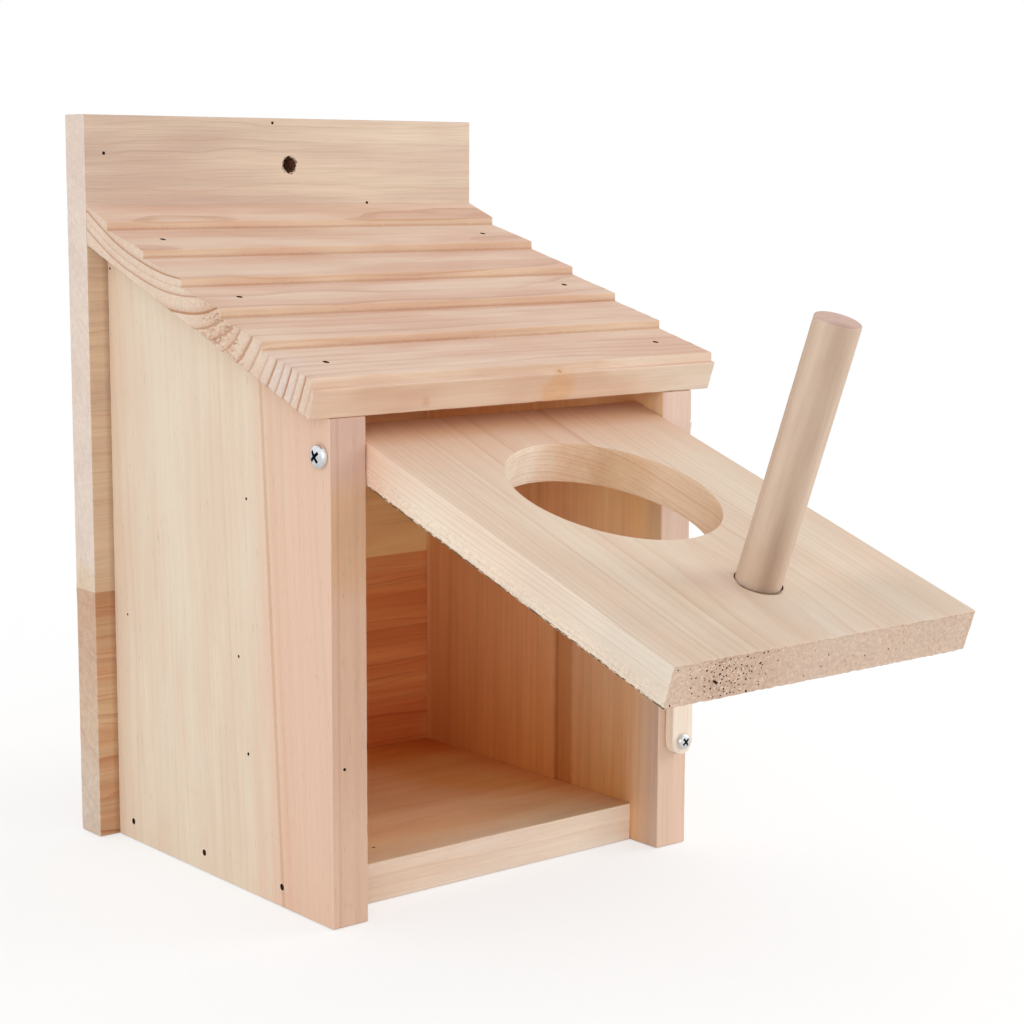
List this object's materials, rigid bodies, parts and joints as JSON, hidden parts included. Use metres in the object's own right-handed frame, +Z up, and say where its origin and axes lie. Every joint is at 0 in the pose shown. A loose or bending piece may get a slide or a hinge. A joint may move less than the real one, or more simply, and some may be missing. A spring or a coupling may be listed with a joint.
{
  "type": "bird nest box",
  "caption": "Wooden nest box with a sloping stepped roof, a top-hung front door with a round entrance and a perch, and a turn button to hold it shut.",
  "frame": {"origin": "on the underside of the floor, midway between the side boards and midway along their depth", "axes": "+Z up, the front and its door face -Y, the back board and wall are at +Y, +X to the right seen from the front"},
  "size_m": [0.15, 0.2558, 0.228],
  "materials": {
    "pale_board": "planed unfinished softwood, matt, pale cream to pink",
    "pink_board": "planed unfinished softwood, matt, pinker heartwood with clear grain",
    "dowel": "sanded unfinished dowel, matt",
    "zinc_screw": "bright zinc plated",
    "brad_steel": "plain dark steel"
  },
  "bodies": {
    "cabinet": {"back_board_upper": "pale_board", "back_board_lower": "pink_board", "side_board_left": "pale_board", "side_board_right": "pink_board", "floor_board": "pale_board", "roof_board": "pink_board", "button_screw": "zinc_screw", "floor_brads_left": "brad_steel", "floor_brads_right": "brad_steel", "roof_brads_left": "brad_steel", "roof_brads_right": "brad_steel", "back_brads_left": "brad_steel", "back_brads_right": "brad_steel", "back_brads_floor": "brad_steel"},
    "door": {"door_board": "pale_board", "perch": "dowel", "perch_screw": "zinc_screw", "hinge_screw_left": "zinc_screw", "hinge_screw_right": "zinc_screw"},
    "button": {"turn_button": "pale_board"}
  },
  "joints": [
    {"name": "door_hinge", "type": "hinge", "parent": "cabinet", "child": "door", "pos_m": [0, -0.0555, 0.134], "axis": [-1, 0, 0], "range_deg": [-71.5, 58.5]},
    {"name": "button_turn", "type": "hinge", "parent": "cabinet", "child": "button", "pos_m": [0.063, -0.0637, 0.0345], "axis": [0, -1, 0], "continuous": true}
  ]
}
